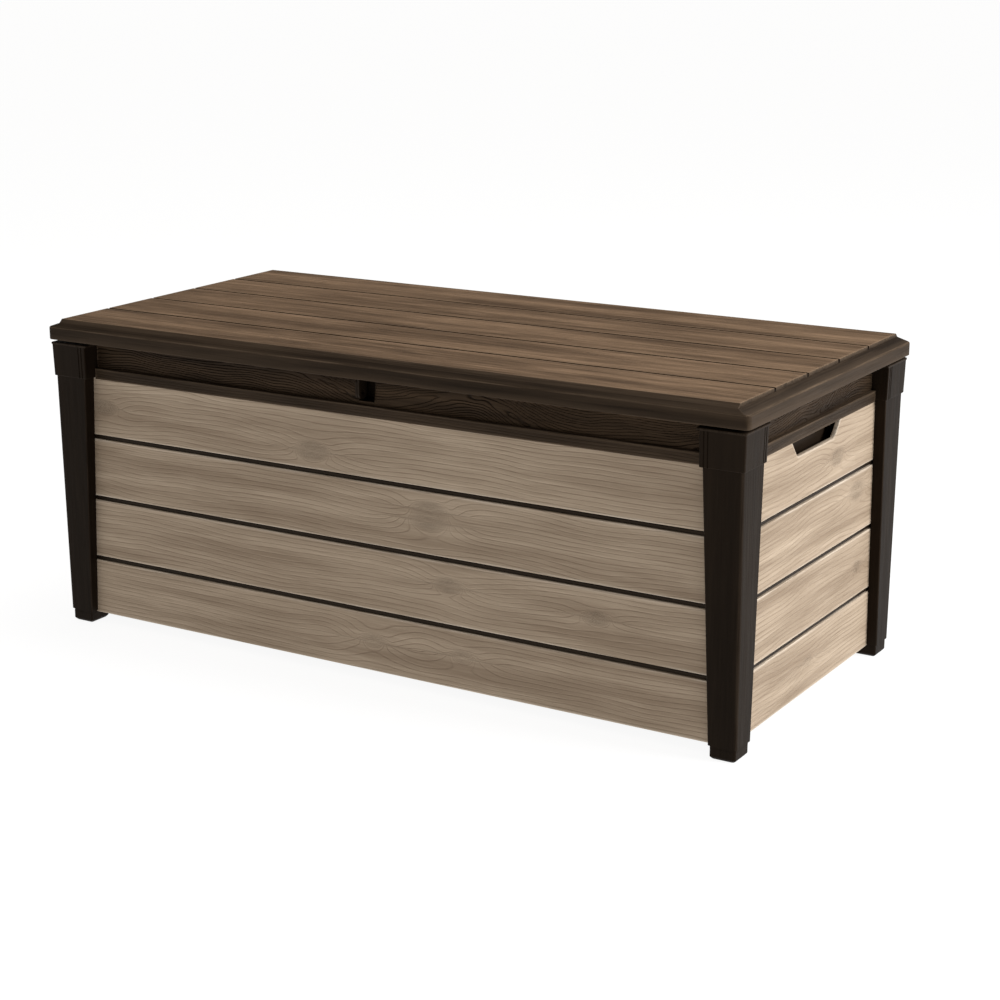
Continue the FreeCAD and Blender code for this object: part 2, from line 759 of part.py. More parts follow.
def strut_rod():
    """The rod with its piston, its end socket and the stud that points at the lid's tab."""
    reach = "sqrt((strut_lid_y - strut_base_y)^2 + (strut_lid_z - strut_base_z)^2)"
    shoulder = f"{reach} - strut_socket_length"
    piston_end = "strut_piston_start + strut_piston_length"
    stem = strut_place(turned([
        ("0", "strut_piston_start"),
        ("strut_piston_radius", "strut_piston_start"),
        ("strut_piston_radius", piston_end),
        ("strut_rod_radius", piston_end),
        ("strut_rod_radius", shoulder),
        ("strut_socket_radius", shoulder),
        ("strut_socket_radius", reach),
        ("0", reach),
    ]))
    eye_x = ("strut_x - strut_eye_half", "strut_x + strut_eye_half")
    eye = rod("strut_eye_radius", eye_x, "strut_lid_y", "strut_lid_z")
    stud_x = ("strut_x - strut_eye_half - lid_tab_gap + running_gap", "strut_x - strut_eye_half")
    stud = rod("strut_stud_radius", stud_x, "strut_lid_y", "strut_lid_z")
    return joined(stem, eye, stud)


def strut_wall_bracket():
    """The plate on the side wall that carries the strut's lower stud."""
    plate = block(
        (f"{INSIDE_X} - bracket_plate", INSIDE_X),
        ("strut_base_y - bracket_half", "strut_base_y + bracket_half"),
        ("strut_base_z - bracket_height / 2", "strut_base_z + bracket_height / 2"),
    )
    boss_x = ("strut_x + strut_eye_half + running_gap", f"{INSIDE_X} - bracket_plate")
    boss = rod("strut_eye_radius", boss_x, "strut_base_y", "strut_base_z")
    stud_x = ("strut_x - strut_eye_half - running_gap", f"{INSIDE_X} - bracket_plate")
    stud = rod("strut_stud_radius", stud_x, "strut_base_y", "strut_base_z")
    return joined(plate, boss, stud)


def strut_lid_tab():
    """The angle under the liner that the strut's upper stud meets."""
    face = "strut_x - strut_eye_half - lid_tab_gap"
    span_y = ("strut_lid_y - bracket_half", "strut_lid_y + bracket_half")
    foot_levels = ("liner_bottom - bracket_plate", "liner_bottom")
    plate = block((f"{face} - lid_tab_foot", face), span_y, foot_levels)
    tab_y = ("strut_lid_y - lid_tab_half", "strut_lid_y + lid_tab_half")
    tab_levels = ("strut_lid_z - lid_tab_drop", "liner_bottom - bracket_plate")
    tab = block((f"{face} - bracket_plate", face), tab_y, tab_levels)
    return joined(plate, tab)


def struts():
    """A gas strut and its two fixings at each end of the box."""
    parts = (
        ("strut_cylinder", strut_cylinder),
        ("strut_rod", strut_rod),
        ("strut_wall_bracket", strut_wall_bracket),
        ("strut_lid_tab", strut_lid_tab),
    )
    for name, make in parts:
        right = keep(make(), f"right_{name}")
        keep(mirrored(right, X_AXIS), f"left_{name}")


def screw(x, y, z, axis, angle):
    """A pan-head screw whose head sits at the given place and whose shank runs along its own Z."""
    shank = doc.addObject("Part::Cylinder", "shank")
    bind(shank, Radius="screw_radius", Height="screw_length")
    head = doc.addObject("Part::Cone", "head")
    bind(head, Radius1="screw_face_radius", Radius2="screw_head_radius", Height="screw_head_height")
    bind(head, Placement__Base__z="-screw_head_height")
    whole = joined(head, shank)
    whole.Placement = Placement(Vector(), Rotation(axis, angle))
    return bind(whole, Placement__Base__x=x, Placement__Base__y=y, Placement__Base__z=z)


def screws():
    """Screws of the brackets: those in the walls stay with the box, the others ride with the lid."""
    in_walls, in_lid = [], []
    for station in (-1, 0, 1):
        for side in (-1, 1):
            x = f"{station} * hinge_spacing + {side} * hinge_screw_offset"
            plate_y = f"{PANEL_Y} + rail_thickness + hinge_plate"
            level = "(hinge_plate_bottom + hinge_z - knuckle_radius) / 2"
            in_walls.append(screw(x, plate_y, level, X_AXIS, 90))
            x = f"{station} * hinge_spacing + {side} * leaf_screw_offset"
            foot_y = "hinge_y - leaf_screw_setback"
            in_lid.append(screw(x, foot_y, "liner_bottom - bracket_plate", X_AXIS, 0))
    for end in (-1, 1):
        for side in (-1, 1):
            y = f"strut_base_y + {side} * bracket_screw_offset"
            x = f"{end} * ({INSIDE_X} - bracket_plate)"
            in_walls.append(screw(x, y, "strut_base_z", Y_AXIS, 90 * end))
            y = f"strut_lid_y + {side} * bracket_screw_offset"
            x = f"{end} * (strut_x - strut_eye_half - lid_tab_gap - lid_tab_foot / 2)"
            in_lid.append(screw(x, y, "liner_bottom - bracket_plate", X_AXIS, 0))
    keep(grouped(in_walls), "wall_screws")
    keep(grouped(in_lid), "lid_screws")


def check_and_export():
    """Stops on any failed feature or bad solid, then writes one file for each piece."""
    doc.recompute()
    for thing in doc.Objects:
        if "Invalid" in thing.State or "Error" in thing.State:
            raise RuntimeError(f"{thing.Label} failed: {thing.State}")
    os.makedirs("parts", exist_ok=True)
    for name, thing in pieces.items():
        shape = thing.Shape
        if shape.isNull() or not shape.isValid() or not shape.Solids:
            raise RuntimeError(f"{name} has no valid solid")
        shape.exportStep(f"parts/{name}.step")
        print(f"{name}: {len(shape.Solids)} solids, {shape.Volume / 1000:.1f} cm3")


fill_sheet()
floor()
planks()
panels()
handle_cups()
rails()
corners()
lid_shell()
lid_liner()
padlock_point()
hinges()
struts()
screws()
check_and_export()
print(len(pieces), "pieces")
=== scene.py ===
"""The looks of the deck storage box: moulded wood-grain walls, rails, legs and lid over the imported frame.

Metres. +X runs along the box, the front faces -Y and +Z is up. Each wood-look piece is lofted from
closed sections, so that its edges are rounded and its grain is real relief as well as colour.
"""
import math
import zlib

import bpy
import numpy as np
from mathutils import Euler, Matrix, Vector


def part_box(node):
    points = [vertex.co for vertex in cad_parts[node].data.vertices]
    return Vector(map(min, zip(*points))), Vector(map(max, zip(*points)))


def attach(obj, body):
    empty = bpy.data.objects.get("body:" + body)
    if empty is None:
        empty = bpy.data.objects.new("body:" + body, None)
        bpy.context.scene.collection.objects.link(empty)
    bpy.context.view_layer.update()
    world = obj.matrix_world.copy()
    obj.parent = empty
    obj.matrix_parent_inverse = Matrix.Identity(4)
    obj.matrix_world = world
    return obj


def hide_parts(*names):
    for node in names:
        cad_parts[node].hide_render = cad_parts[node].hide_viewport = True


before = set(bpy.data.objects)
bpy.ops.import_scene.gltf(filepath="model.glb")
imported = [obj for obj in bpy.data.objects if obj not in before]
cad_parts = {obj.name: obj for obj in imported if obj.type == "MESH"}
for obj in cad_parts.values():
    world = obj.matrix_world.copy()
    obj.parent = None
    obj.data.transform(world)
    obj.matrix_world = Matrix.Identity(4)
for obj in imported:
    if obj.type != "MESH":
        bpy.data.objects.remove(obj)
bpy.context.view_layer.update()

MM = 0.001


# ---------------------------------------------------------------- grain

def seed_of(name):
    """A fixed number for a name, so that each piece has its own grain on every run."""
    return zlib.crc32(name.encode()) % 10000


def smooth_noise(x, y, seed):
    """Value noise from -1 to 1 with a cell size of one, the same on every run."""
    rng = np.random.default_rng(seed)
    lattice = rng.uniform(-1.0, 1.0, (64, 64))
    column, row = np.floor(x).astype(int), np.floor(y).astype(int)
    across, up = x - column, y - row
    across = across * across * (3 - 2 * across)
    up = up * up * (3 - 2 * up)
    left, right = column % 64, (column + 1) % 64
    low, high = row % 64, (row + 1) % 64
    bottom = lattice[left, low] * (1 - across) + lattice[right, low] * across
    top = lattice[left, high] * (1 - across) + lattice[right, high] * across
    return bottom * (1 - up) + top * up


def grain_rings(along, across, name, pitch, waviness, knots):
    """How many growth rings lie between a point and the edge; its whole steps are the grain lines."""
    seed = seed_of(name)
    drift = smooth_noise(along / 0.23, along * 0 + 0.5, seed)
    wave = smooth_noise(along / 0.11, across / 0.045, seed + 1)
    ripple = smooth_noise(along / 0.03, across / 0.009, seed + 2)
    place = across + waviness * (drift + 0.55 * wave) + 0.0006 * ripple
    rings = place / pitch
    for knot_along, knot_across, radius in knots:
        far = np.hypot((along - knot_along) / 2.1, across - knot_across)
        push = np.exp(-(far / (radius * 2.4)) ** 2)
        rings += push * radius / pitch * 1.7 * np.sign(across - knot_across + 1e-9)
        inside = np.exp(-(far / (0.75 * radius)) ** 2)
        rings = rings * (1 - inside) + inside * (far / pitch * 1.1)
    return rings


def cathedral_rings(along, across, name, pitch, middle):
    """Rings of a plank sawn near the heart of the log: long arches that sweep over its face."""
    seed = seed_of(name)
    sway = 0.045 * smooth_noise(along / 0.19, along * 0 + 0.3, seed)
    wave = 0.006 * smooth_noise(along / 0.07, across / 0.04, seed + 3)
    ripple = 0.0012 * smooth_noise(along / 0.025, across / 0.008, seed + 4)
    heart = 0.006 + 0.004 * smooth_noise(along / 0.3, along * 0 + 0.8, seed + 5)
    return (np.hypot(across - middle - sway, heart) + wave + ripple) / pitch


def relief(rings, depth):
    """Grooves along the grain lines: a steep side and a slow side, as brushed wood has."""
    turn = rings - np.floor(rings)
    return -depth * (np.exp(-((turn - 0.12) / 0.10) ** 2) + 0.35 * turn)


def knots_for(name, length, width, count, radius):
    """Where a plank's knots lie: (along, across, radius) from its middle."""
    rng = np.random.default_rng(seed_of(name) + 7)
    spots = []
    for _ in range(count):
        along = rng.uniform(-0.46, 0.46) * length
        across = rng.uniform(-0.25, 0.25) * width
        spots.append((along, across, radius * rng.uniform(0.7, 1.3)))
    return spots


# ---------------------------------------------------------------- meshes

def loft(name, sections, closed=False, rings=None, wear_and_highlight=None):
    """A mesh through closed sections of equal point count, capped unless the sections close a loop."""
    sections = np.asarray(sections, dtype=float)
    count, size = sections.shape[:2]
    steps = count if closed else count - 1
    row = np.repeat(np.arange(steps), size)
    point = np.tile(np.arange(size), steps)
    following, beside = (row + 1) % count, (point + 1) % size
    quads = np.stack([
        row * size + point, row * size + beside, following * size + beside, following * size + point,
    ], axis=1)
    mesh = bpy.data.meshes.new(name)
    faces = quads.tolist()
    if not closed:
        faces.append(list(range(size))[::-1])
        faces.append([(count - 1) * size + number for number in range(size)])
    mesh.from_pydata(sections.reshape(-1, 3).tolist(), [], faces)
    for label, values in (("rings", rings), ("wear_and_highlight", wear_and_highlight)):
        field = mesh.attributes.new(label, "FLOAT", "POINT")
        if values is not None:
            field.data.foreach_set("value", np.asarray(values, dtype=np.float32).reshape(-1))
    return finish_mesh(mesh, name)


def finish_mesh(mesh, name):
    """Turns a mesh into a smooth-shaded object whose faces point outwards."""
    mesh.validate()
    piece = bpy.data.objects.new(name, mesh)
    bpy.context.collection.objects.link(piece)
    bpy.context.view_layer.objects.active = piece
    piece.select_set(True)
    bpy.ops.object.mode_set(mode="EDIT")
    bpy.ops.mesh.select_all(action="SELECT")
    bpy.ops.mesh.normals_make_consistent(inside=False)
    bpy.ops.object.mode_set(mode="OBJECT")
    bpy.ops.object.shade_auto_smooth(angle=math.radians(40))
    piece.select_set(False)
    return piece


def rounded_polygon(corners, radii, steps=5):
    """The outline of a polygon with an arc at each corner, the same number of points at each."""
    points = []
    count = len(corners)
    for number in range(count):
        here = Vector(corners[number])
        back = Vector(corners[number - 1]) - here
        ahead = Vector(corners[(number + 1) % count]) - here
        reach = min(radii[number], back.length * 0.45, ahead.length * 0.45)
        start, end = here + back.normalized() * reach, here + ahead.normalized() * reach
        for step in range(steps):
            part = step / (steps - 1)
            points.append(start * (1 - part) ** 2 + here * 2 * part * (1 - part) + end * part ** 2)
    return points


def spread(low, high, pitch, edge):
    """Places from low to high, evenly spaced but for finer steps over a rounded edge at each end."""
    fine = edge * (1 - np.cos(np.linspace(0, math.pi / 2, 5)))
    middle = np.linspace(low + edge, high - edge, max(3, int((high - low) / pitch)))
    return np.concatenate([low + fine[:-1], middle, (high - fine[:-1])[::-1]])


def edge_drop(distance, radius):
    """How far a rounded edge falls below its face at a distance from the edge."""
    inside = np.clip(1 - distance / radius, 0, 1)
    return radius * (1 - np.sqrt(np.clip(1 - inside ** 2, 0, 1)))


def board(name, length, low, top_at, face, back, radius, rings_at, depth, pitch, to_world):
    """A grained board: sections across it, each from its low edge to its top edge, lofted along it.

    top_at(along) gives the top edge, rings_at(along, across) the grain, and to_world() places
    (along, out, across) in the box's own frame. face and back are distances out of the wall.
    """
    stations = spread(-length / 2, length / 2, pitch[0], radius)
    unit = spread(0.0, 1.0, pitch[1], radius / float(top_at(np.zeros(1))[0] - low))
    along, part = np.meshgrid(stations, unit, indexing="ij")
    top = top_at(along)
    across = low + (top - low) * part
    rings = rings_at(along, across)
    end_gap = length / 2 - np.abs(along)
    edge_gap = np.minimum(across - low, top - across)
    drop = np.maximum(edge_drop(end_gap, radius), edge_drop(edge_gap, radius))
    fade = np.clip(np.minimum(end_gap, edge_gap) / (2 * radius), 0, 1)
    out = face - drop + relief(rings, depth) * fade
    # Paler towards the rounded edges and ends: painted highlight, and wear as well on the rails and lid
    # planks.
    wear_and_highlight = np.exp(-(np.minimum(end_gap, edge_gap) / (1.3 * radius)) ** 2)
    front = np.stack([along, out, across], axis=-1)
    corner_high = np.stack([stations, np.full_like(stations, back), top[:, 0]], axis=-1)
    corner_low = np.stack([stations, np.full_like(stations, back), np.full_like(stations, low)], axis=-1)
    sections = np.concatenate([front, corner_high[:, None], corner_low[:, None]], axis=1)
    rings = np.concatenate([rings, rings[:, -1:], rings[:, :1]], axis=1)
    wear_and_highlight = np.concatenate([wear_and_highlight, wear_and_highlight[:, -1:] * 0, wear_and_highlight[:, :1] * 0], axis=1)
    return loft(name, to_world(sections), rings=rings, wear_and_highlight=wear_and_highlight)


def level(height):
    """The top edge of a board that doesn't change along it."""
    return lambda along: np.full(np.shape(along), height)


def on_wall(wall):
    """The function that places wall coordinates on the front, back, right or left of the box."""
    def place(points):
        along, out, up = points[..., 0], points[..., 1], points[..., 2]
        return {
            "front": lambda: np.stack([along, -out, up], axis=-1),
            "back": lambda: np.stack([-along, out, up], axis=-1),
            "right": lambda: np.stack([out, along, up], axis=-1),
            "left": lambda: np.stack([-out, -along, up], axis=-1),
        }[wall]()
    return place


def span_on(wall, node):
    """A CAD node's (half length, inner distance out, outer distance out, low, high) on its wall."""
    low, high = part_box(node)
    out_axis = 1 if wall in ("front", "back") else 0
    distances = sorted((abs(low[out_axis]), abs(high[out_axis])))
    return (high[1 - out_axis] - low[1 - out_axis]) / 2, distances[0], distances[1], low[2], high[2]


def stands_for(piece, body, slot, *nodes):
    """The piece replaces CAD nodes and rides on a body; slot is not used."""
    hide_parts(*nodes)
    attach(piece, body)


def paint(piece, material):
    """Gives a piece one material."""
    piece.data.materials.clear()
    piece.data.materials.append(material)


# ---------------------------------------------------------------- materials

class Nodes:
    """A short way to add linked shader nodes to a material."""

    def __init__(self, name):
        self.material = bpy.data.materials.new(name)
        self.material.use_nodes = True
        self.tree = self.material.node_tree
        self.shader = self.tree.nodes["Principled BSDF"]

    def add(self, kind, inputs=None, **settings):
        node = self.tree.nodes.new(f"ShaderNode{kind}")
        for setting, value in settings.items():
            setattr(node, setting, value)
        for socket, value in (inputs or {}).items():
            self.feed(node.inputs[socket], value)
        return node

    def feed(self, socket, value):
        """A socket takes another node's output or a plain value."""
        if isinstance(value, bpy.types.NodeSocket):
            self.tree.links.new(value, socket)
        else:
            socket.default_value = value

    def math(self, operation, first, second=0.5, third=0.0):
        node = self.add("Math", operation=operation)
        for socket, value in zip(node.inputs, (first, second, third)):
            self.feed(socket, value)
        return node.outputs[0]

    def span(self, value, low, high, to_low=0.0, to_high=1.0):
        """The value from low to high, turned into to_low to to_high and held there."""
        node = self.add("MapRange", {0: value, 1: low, 2: high, 3: to_low, 4: to_high})
        return node.outputs[0]

    def mix(self, amount, first, second):
        node = self.add("Mix", {0: amount, 6: first, 7: second}, data_type="RGBA")
        return node.outputs[2]

    def field(self, name):
        return self.add("Attribute", attribute_name=name).outputs["Fac"]

    def stretched(self, scale, size, detail=6.0, roughness=0.6):
        """Noise drawn out along the grain. scale is per metre along X, Y and Z."""
        place = self.add("TexCoord").outputs["Object"]
        drawn = self.add("Mapping", {"Vector": place, "Scale": scale}).outputs[0]
        noise = {"Vector": drawn, "Scale": size, "Detail": detail, "Roughness": roughness}
        return self.add("TexNoise", noise).outputs["Fac"]

    def bump(self, height, distance, strength=1.0, below=None):
        inputs = {"Height": height, "Distance": distance, "Strength": strength}
        node = self.add("Bump", inputs)
        if below is not None:
            self.feed(node.inputs["Normal"], below)
        return node.outputs[0]


def stretch(axis, along, across):
    """Scale of a noise that runs along one axis."""
    return tuple(along if number == axis else across for number in range(3))


def moulded_wood(name, axis, dark, plain, light, lines, wear_and_highlight_tone, roughness, streak, gloss):
    """Resin moulded as wood: grain lines, fine brushed streaks, slow colour drift, and paler edges that are
    partly wear and partly painted highlight.
    """
    made = Nodes(name)
    turn = made.math("FRACT", made.field("rings"))
    line = made.math("MULTIPLY", made.span(turn, 0.30, 0.10), made.span(turn, 0.0, 0.08))
    fine = made.stretched(stretch(axis, 7.0, 330.0), 1.0, 6.0, 0.7)
    broad = made.stretched(stretch(axis, 2.2, 34.0), 1.0, 4.0)
    patches = made.stretched((1.0, 1.0, 1.0), 9.0, 4.0)
    tone = made.mix(made.span(broad, 0.34, 0.68), dark, light)
    tone = made.mix(0.35, tone, plain)
    tone = made.mix(made.math("MULTIPLY", made.span(fine, 0.44, 0.70), streak), tone, dark)
    tone = made.mix(made.math("MULTIPLY", made.span(fine, 0.46, 0.30), streak * 0.6), tone, light)
    broken = made.span(patches, 0.32, 0.62)
    tone = made.mix(made.math("MULTIPLY", made.math("MULTIPLY", line, broken), lines), tone, dark)
    # Edges mixed towards the paler tone: painted highlight on every rounded edge, with wear as well on the
    # rims, rails and lid planks.
    rub_and_highlight = made.math("MULTIPLY", made.field("wear_and_highlight"), made.span(fine, 0.38, 0.6))
    tone = made.mix(made.math("MULTIPLY", rub_and_highlight, 0.75), tone, wear_and_highlight_tone)
    made.feed(made.shader.inputs["Base Color"], tone)
    rough = made.span(fine, 0.3, 0.7, roughness - 0.08, roughness + 0.1)
    made.feed(made.shader.inputs["Roughness"], rough)
    made.shader.inputs["Specular IOR Level"].default_value = gloss
    made.shader.inputs["Specular Tint"].default_value = WARM_SHEEN
    coarse = made.bump(line, -0.0005, 0.8)
    made.feed(made.shader.inputs["Normal"], made.bump(fine, 0.00035, 0.8, coarse))
    return made.material


def pebbled_resin(name, tone, roughness=0.5):
    """Plain moulded resin with a fine pebbled skin and slightly uneven colour."""
    made = Nodes(name)
    drift = made.stretched((1.0, 1.0, 1.0), 6.0, 3.0)
    skin = made.stretched((1.0, 1.0, 1.0), PEBBLES_PER_METRE, 2.0)
    pale = tuple(min(1.0, channel * 1.35) for channel in tone[:3]) + (1.0,)
    made.feed(made.shader.inputs["Base Color"], made.mix(made.span(drift, 0.35, 0.65), tone, pale))
    made.feed(made.shader.inputs["Roughness"], made.span(skin, 0.3, 0.7, roughness - 0.06, roughness + 0.08))
    made.feed(made.shader.inputs["Normal"], made.bump(skin, 0.00012, 0.5))
    made.shader.inputs["Specular IOR Level"].default_value = 0.15
    made.shader.inputs["Specular Tint"].default_value = WARM_SHEEN
    return made.material


def metal(name, tone, roughness, brushed):
    """Plated or polished metal; brushed is how many fine scratches per metre run round it."""
    made = Nodes(name)
    scratch = made.stretched((brushed, brushed * 0.1, brushed), 1.0, 3.0)
    shade = made.mix(made.span(scratch, 0.4, 0.6), tone, BRIGHT_METAL)
    made.feed(made.shader.inputs["Base Color"], shade)
    made.feed(made.shader.inputs["Roughness"], made.span(scratch, 0.3, 0.7, roughness, roughness + 0.12))
    made.shader.inputs["Metallic"].default_value = 1.0
    made.feed(made.shader.inputs["Normal"], made.bump(scratch, 0.00003, 0.4))
    return made.material


def painted_tube(name):
    """Satin black enamel on the gas tubes."""
    made = Nodes(name)
    peel = made.stretched((1.0, 1.0, 1.0), 500.0, 2.0)
    made.feed(made.shader.inputs["Roughness"], made.span(peel, 0.3, 0.7, 0.25, 0.36))
    made.feed(made.shader.inputs["Base Color"], made.mix(peel, BLACK_LOW, BLACK_HIGH))
    made.feed(made.shader.inputs["Normal"], made.bump(peel, 0.00004, 0.3))
    return made.material


X_GRAIN, Y_GRAIN, Z_GRAIN = 0, 1, 2
WARM_SHEEN = (1.0, 0.80, 0.62, 1)
TAN = ((0.215, 0.155, 0.105, 1), (0.42, 0.325, 0.235, 1), (0.49, 0.39, 0.29, 1))
CARVED = ((0.004, 0.0022, 0.0012, 1), (0.029, 0.016, 0.008, 1), (0.070, 0.044, 0.025, 1))
RIM = ((0.006, 0.0035, 0.002, 1), (0.026, 0.0155, 0.0085, 1), (0.060, 0.040, 0.025, 1))
LEG = ((0.004, 0.0022, 0.0012, 1), (0.0085, 0.0047, 0.0024, 1), (0.014, 0.0085, 0.0048, 1))
TOP = ((0.035, 0.019, 0.009, 1), (0.185, 0.110, 0.060, 1), (0.33, 0.215, 0.13, 1))
# The paler tones the edges are mixed towards: painted highlight on the tan planks and the legs, painted
# highlight and wear on the rims, rails and lid planks.
TAN_EDGE_HIGHLIGHT = (0.80, 0.70, 0.58, 1)
RIM_WEAR_AND_HIGHLIGHT = (0.15, 0.105, 0.07, 1)
LEG_EDGE_HIGHLIGHT = (0.045, 0.031, 0.021, 1)
TOP_WEAR_AND_HIGHLIGHT = (0.30, 0.21, 0.14, 1)
RESIN = (0.012, 0.0075, 0.0045, 1)
# Painted shade: a darker resin for the grooves between the lid planks.
GROOVE_SHADE_TONE = (0.006, 0.004, 0.003, 1)
PEBBLES_PER_METRE = 1400.0
ZINC = (0.55, 0.55, 0.53, 1)
CHROME = (0.8, 0.8, 0.82, 1)
BRIGHT_METAL = (0.75, 0.75, 0.74, 1)
BLACK_LOW = (0.012, 0.012, 0.012, 1)
BLACK_HIGH = (0.03, 0.03, 0.03, 1)


def wood_set(name, tones, lines, wear_and_highlight_tone, roughness, streak, gloss):
    """One wood look in three versions, with its grain along X, Y or Z."""
    return [
        moulded_wood(f"{name}_{letter}", axis, *tones, lines, wear_and_highlight_tone, roughness, streak, gloss)
        for axis, letter in enumerate("xyz")
    ]


along_grain = {"front": X_GRAIN, "back": X_GRAIN, "right": Y_GRAIN, "left": Y_GRAIN}
tan_wood = wood_set("tan_wood", TAN, 0.62, TAN_EDGE_HIGHLIGHT, 0.62, 0.42, 0.3)
carved_wood = wood_set("carved_wood", CARVED, 0.9, RIM_WEAR_AND_HIGHLIGHT, 0.6, 0.35, 0.14)
rim_wood = wood_set("rim_wood", RIM, 0.3, RIM_WEAR_AND_HIGHLIGHT, 0.6, 0.5, 0.14)
leg_wood = wood_set("leg_wood", LEG, 0.0, LEG_EDGE_HIGHLIGHT, 0.55, 0.35, 0.10)
top_wood = wood_set("top_wood", TOP, 0.6, TOP_WEAR_AND_HIGHLIGHT, 0.6, 0.95, 0.15)[X_GRAIN]
end_wood = wood_set("end_wood", RIM, 0.0, RIM_WEAR_AND_HIGHLIGHT, 0.6, 0.9, 0.2)[Z_GRAIN]
resin = pebbled_resin("dark_resin_skin", RESIN)
# Painted shade for the lid's grooves: the sheet under the planks and the planks' sides.
groove_shade_resin = pebbled_resin("groove_shade_resin", GROOVE_SHADE_TONE, 0.8)
steel = metal("zinc_plate", ZINC, 0.3, 900.0)
chrome = metal("polished_rod_steel", CHROME, 0.08, 300.0)
black = painted_tube("black_enamel")


# ---------------------------------------------------------------- walls

WALLS = ("front", "back", "right", "left")
PLANK_ROUND = 2.2 * MM
GRIP_BOTTOM, GRIP_BOTTOM_HALF, GRIP_TOP_HALF = 0.461, 0.074, 0.113


def grip_top(plain_top):
    """Top edge of a handle plank: level, but for the trough of the handle with its soft corners."""
    def top_at(along):
        reach = np.abs(along)
        slope = np.clip((reach - GRIP_BOTTOM_HALF) / (GRIP_TOP_HALF - GRIP_BOTTOM_HALF), 0, 1)
        return GRIP_BOTTOM + (plain_top - GRIP_BOTTOM) * slope * slope * (3 - 2 * slope)
    return top_at


def wall_planks():
    """Sixteen tan planks, with knots here and there, in place of the plain ones."""
    for wall in WALLS:
        for number in range(1, 5):
            name = f"{wall}_plank_{number}"
            half, back, face, low, high = span_on(wall, name)
            middle, width = (low + high) / 2, high - low
            knots = knots_for(name, 2 * half, width, 2 if wall in ("front", "back") else 1, 0.011)
            spots = [(a, middle + b, r) for a, b, r in knots]
            handle = wall in ("right", "left") and number == 1
            top_at = grip_top(high) if handle else level(high)

            def rings_at(along, across, name=name, spots=spots):
                return grain_rings(along, across, name, 0.0085, 0.010, spots)

            step = 2 * MM if handle else 4.5 * MM
            piece = board(
                f"{name}_wood", 2 * half, low, top_at, face, back, PLANK_ROUND, rings_at,
                0.28 * MM, (step, 0.022), on_wall(wall),
            )
            paint(piece, tan_wood[along_grain[wall]])
            stands_for(piece, "box", "tan_resin", name)


NOTCH_LEFT, NOTCH_RIGHT, NOTCH_BOTTOM = -0.038, -0.002, 0.517
RAIL_PLATE, LEDGE_DEEP = 2 * MM, 7.5 * MM
LEDGE_LOW, LEDGE_TOP = 0.490, 0.511
CARVING_HEART = 0.530


def notched(height):
    """The front rail's top edge, cut down to a soft-cornered notch for the padlock."""
    def top_at(along):
        outside = np.maximum(NOTCH_LEFT - along, along - NOTCH_RIGHT)
        return NOTCH_BOTTOM + (height - NOTCH_BOTTOM) * np.clip(outside / (1.5 * MM), 0, 1)
    return top_at


def rails_and_ledges():
    """Deep-carved rails under the lid, each behind a rounded ledge moulding."""
    for wall in WALLS:
        name = f"{wall}_rail"
        half, back, nose, _, high = span_on(wall, name)
        grain = along_grain[wall]
        top_at = notched(high) if wall == "front" else level(high)
        carving = board(
            f"{name}_carving", 2 * half, LEDGE_TOP - 2 * MM, top_at,
            back + RAIL_PLATE, back, 0.8 * MM,
            lambda along, across: cathedral_rings(along, across, name, 4.6 * MM, CARVING_HEART),
            1.3 * MM, (2.5 * MM, 0.02), on_wall(wall),
        )
        ledge = board(
            f"{name}_ledge", 2 * half, LEDGE_LOW, level(LEDGE_TOP), nose, back + LEDGE_DEEP, 2 * MM,
            lambda along, across: grain_rings(along, across, f"{wall}_ledge", 5 * MM, 4 * MM, []),
            0.25 * MM, (5 * MM, 0.08), on_wall(wall),
        )
        core = board(
            f"{name}_core", 2 * half, LEDGE_LOW + 5.5 * MM, level(LEDGE_TOP),
            back + LEDGE_DEEP, back, 0.4 * MM,
            lambda along, across: across * 0, 0.0, (0.1, 0.2), on_wall(wall),
        )
        for piece, material in ((carving, carved_wood), (ledge, rim_wood), (core, rim_wood)):
            paint(piece, material[grain])
            stands_for(piece, "box", "dark_resin", name)


# ---------------------------------------------------------------- corners

CORNERS = [(x, y) for x in ("right", "left") for y in ("front", "back")]


def mirrored_to(side, end, points):
    """Points drawn for the back right corner, moved to another corner."""
    flip = np.array([1 if side == "right" else -1, 1 if end == "back" else -1, 1])
    return np.asarray(points) * flip


def angle_section(outer, start, inner, radii, z):
    """An L-shaped section round a corner: outer faces, flange ends and the wall faces behind them."""
    corners = [
        (start[0], inner[1]), (start[0], outer[1]), (outer[0], outer[1]),
        (outer[0], start[1]), (inner[0], start[1]), (inner[0], inner[1]),
    ]
    flat = rounded_polygon(corners, radii)
    return [(point.x, point.y, z) for point in flat]


def corner_frame(side, end, name):
    """Positive outer reach of a CAD corner piece, and its low and high ends in z."""
    low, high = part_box(f"{end}_{side}_{name}")
    outer = (max(abs(low[0]), abs(high[0])), max(abs(low[1]), abs(high[1])))
    start = (min(abs(low[0]), abs(high[0])), min(abs(low[1]), abs(high[1])))
    return outer, start, low[2], high[2]


PLANK_FACE = (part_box("right_plank_2")[1][0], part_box("back_plank_2")[1][1])
PLANK_THICKNESS = 8 * MM
FOOT_STEP = 2.5 * MM
CAP_GROOVE_PITCH = 7 * MM
LEG_ROUNDS = (0.6 * MM, 2.5 * MM, 6 * MM, 2.5 * MM, 0.6 * MM, 0.5 * MM)


